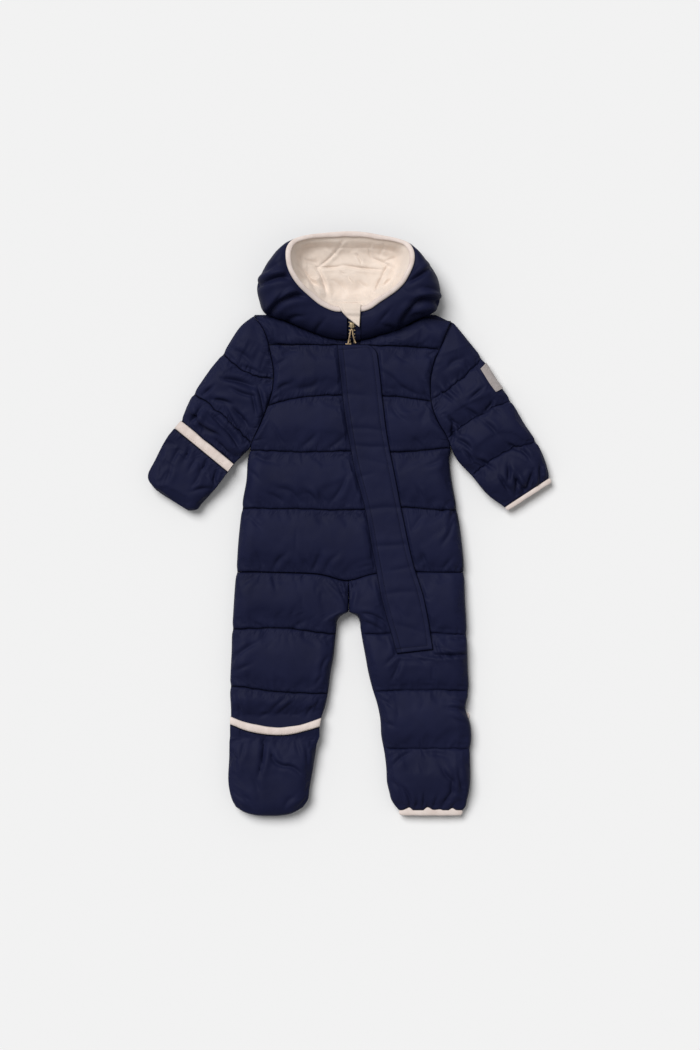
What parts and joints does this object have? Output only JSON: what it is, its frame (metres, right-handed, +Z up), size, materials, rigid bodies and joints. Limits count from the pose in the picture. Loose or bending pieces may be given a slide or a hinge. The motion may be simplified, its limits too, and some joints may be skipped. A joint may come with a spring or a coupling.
{
  "type": "baby snowsuit",
  "caption": "Hooded, quilted baby snowsuit laid flat on its back, with a slanted zip under a placket, fleece-lined hood, and fold-over hand and foot covers.",
  "frame": {"origin": "middle of the laid-out suit's outline, on the surface it lies on", "axes": "+X to the wearer's left, +Y to the hood, +Z up from the surface"},
  "size_m": [0.5241, 0.7586, 0.0569],
  "materials": {
    "shell": "soft-sheen dark navy woven nylon",
    "fleece": "cream fleece",
    "binding": "pale stretch rib binding",
    "label": "plain grey woven patch",
    "zip_metal": "antique gold",
    "cord": "tan braided cord"
  },
  "bodies": {
    "root": {"front_right": "shell", "front_left": "shell", "back": "shell", "leg_front_right": "shell", "leg_front_left": "shell", "leg_back_right": "shell", "leg_back_left": "shell", "sleeve_right": "shell", "sleeve_left": "shell", "hood_side_right": "shell", "hood_side_left": "shell", "hood_centre": "shell", "hood_lining": "fleece", "hood_binding": "binding", "chin_guard": "fleece", "zip_underlap": "shell", "zip_tape": "shell", "zip_slider": "zip_metal", "zip_puller": "cord", "placket": "shell", "mitten_cover_right": "shell", "mitten_binding_right": "binding", "mitten_cover_left": "shell", "cuff_binding_left": "binding", "foot_cover_right": "shell", "foot_binding_right": "binding", "foot_cover_left": "shell", "foot_binding_left": "binding", "hem_binding_left": "binding", "sleeve_label": "label"}
  },
  "joints": []
}
